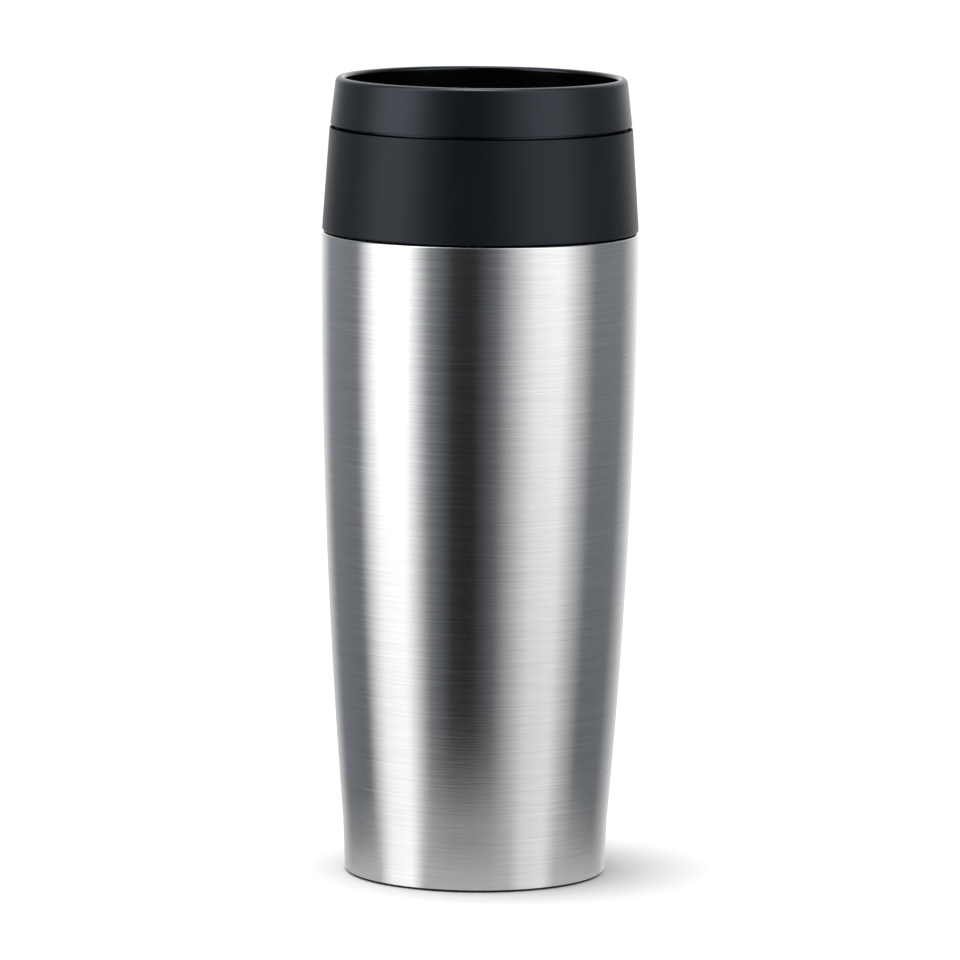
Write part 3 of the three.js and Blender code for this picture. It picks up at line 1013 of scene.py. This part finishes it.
TENT_STRENGTH = 1.5
TENT_RADIUS = 0.24
TENT_HEIGHT = 1.3
WALL_RISE = (0.78, 1.42)        # share of a band's glow at the floor and at the height below
RISE_TOP = 0.3
CEILING_GLOW = 1.6
FLOOR_GLOW = 0.42               # least glow of the floor beside the mug
FLOOR_FADE = (0.025, 0.165)     # distances over which that glow fades
SIDES = (1.0, 1.8)              # radians from the front over which the floor's glow weakens
SIDE_LOSS = 0.3
SIDE_FADE_LOSS = 0.06
PLAIN = (1, 1, 1)
COOL = (0.95, 1, 1.09)
BANDS = [                       # degrees round from the front, glow, tint
    (-180, 0.65, PLAIN),
    (-150, 0.54, PLAIN),
    (-132, 0.2, COOL),
    (-93, 0.15, COOL),
    (-83, 0.72, PLAIN),
    (-73, 1.15, PLAIN),
    (-53, 1.25, PLAIN),
    (-44, 0.7, PLAIN),
    (-35, 0.18, COOL),
    (-18, 0.02, COOL),
    (-3, 0.015, COOL),
    (12, 0.11, COOL),
    (38, 0.8, PLAIN),
    (58, 0.91, PLAIN),
    (70, 0.55, PLAIN),
    (86, 0.16, COOL),
    (119, 0.17, COOL),
    (152, 0.64, PLAIN),
]


def tent_cloth():
    """Glows by the angle round the tube. Its floor keeps those bands and turns pale near the mug."""
    finish = Finish("tent_cloth", Base_Color=tone(0), Roughness=1.0, Specular_IOR_Level=0.0)
    x, y, z = (
        finish.node("ShaderNodeSeparateXYZ", {}, {"Vector": finish.place}, output=axis)
        for axis in range(3)
    )
    out = (x * x + y * y) ** 0.5
    azimuth = finish.maths("ARCTAN2", x, y * -1)
    # On the floor the bands bend, so that they run straight up the mug that reflects them.
    across = finish.maths("SINE", azimuth / (2 - base_radius / out)) * base_radius
    bend = finish.maths("ARCSINE", across / out) - finish.maths("ARCSINE", across / TENT_RADIUS)
    stops = [(0.5 + degrees / 360, tone(level, tint)) for degrees, level, tint in BANDS]
    turn = (azimuth + bend) * (0.5 / math.pi) + 0.5
    bands = finish.node("ShaderNodeValToRGB", {"stops": stops}, {"Fac": turn})
    rise = finish.node("ShaderNodeMapRange", {}, {
        "Value": z, "From Max": RISE_TOP, "To Min": WALL_RISE[0], "To Max": WALL_RISE[1],
    })
    risen = finish.node("ShaderNodeVectorMath", {"operation": "SCALE"}, {0: bands, "Scale": rise})
    aside = finish.window(finish.maths("ABSOLUTE", azimuth), *SIDES)
    fade_end = FLOOR_FADE[1] - aside * SIDE_FADE_LOSS
    near = 1 - finish.window(out + z * 4, FLOOR_FADE[0], fade_end)
    walls = finish.node("ShaderNodeMix", {"data_type": "RGBA", "blend_type": "LIGHTEN"}, {
        0: near * (1 - aside * SIDE_LOSS), 6: risen, 7: tone(FLOOR_GLOW, (1, 1, 0.97)),
    }, output=2)
    on_top = finish.window(z, TENT_HEIGHT - 0.01, TENT_HEIGHT)
    finish.set(
        Emission_Color=finish.blend(on_top, walls, tone(CEILING_GLOW)),
        Emission_Strength=TENT_STRENGTH,
    )
    return finish.material


TENT_LIFT = 0.0003              # keeps the tube's floor off the table
tent = bmesh.new()
bmesh.ops.create_cone(
    tent, cap_ends=True, segments=128, radius1=TENT_RADIUS, radius2=TENT_RADIUS, depth=TENT_HEIGHT,
)
bmesh.ops.translate(tent, verts=tent.verts, vec=(0, 0, TENT_HEIGHT / 2 + TENT_LIFT))
tube = staged("tent", tent, tent_cloth())
tube.visible_camera = False
tube.visible_diffuse = False
tube.visible_shadow = False
tube.visible_transmission = False


# ---- studio light and camera ----
# White walls fill every shadow softly. A wide soft light hangs over the mug, a little to its left,
# and the camera looks slightly down on it from a distance with a long lens.

world = bpy.data.worlds.new("studio")
bpy.context.scene.world = world
world.use_nodes = True
walls = world.node_tree.nodes["Background"]
walls.inputs["Color"].default_value = tone(1)
walls.inputs["Strength"].default_value = 0.68

ceiling = bpy.data.lights.new("ceiling", "SUN")
ceiling.energy = 1.8
ceiling.angle = math.radians(14)
ceiling.color = (1, 0.995, 0.985)
above = bpy.data.objects.new("ceiling", ceiling)
toward_light = Vector((-0.055, -0.01, 1))
above.rotation_euler = toward_light.to_track_quat("Z", "Y").to_euler()
bpy.context.scene.collection.objects.link(above)

bpy.context.scene.view_settings.view_transform = "Standard"

DISTANCE = 1.9
HEIGHT = 0.355
OFFSET = 0.0005
PITCH = math.radians(7.632)
ROLL = math.radians(0.535)
camera = bpy.data.cameras.new("camera")
camera.lens = 282.9
camera.clip_end = 60
eye = bpy.data.objects.new("camera", camera)
bpy.context.scene.collection.objects.link(eye)
eye.matrix_world = (
    Matrix.Translation((OFFSET, -DISTANCE, HEIGHT))
    @ Matrix.Rotation(math.radians(90) - PITCH, 4, "X")
    @ Matrix.Rotation(ROLL, 4, "Z")
)
bpy.context.scene.camera = eye
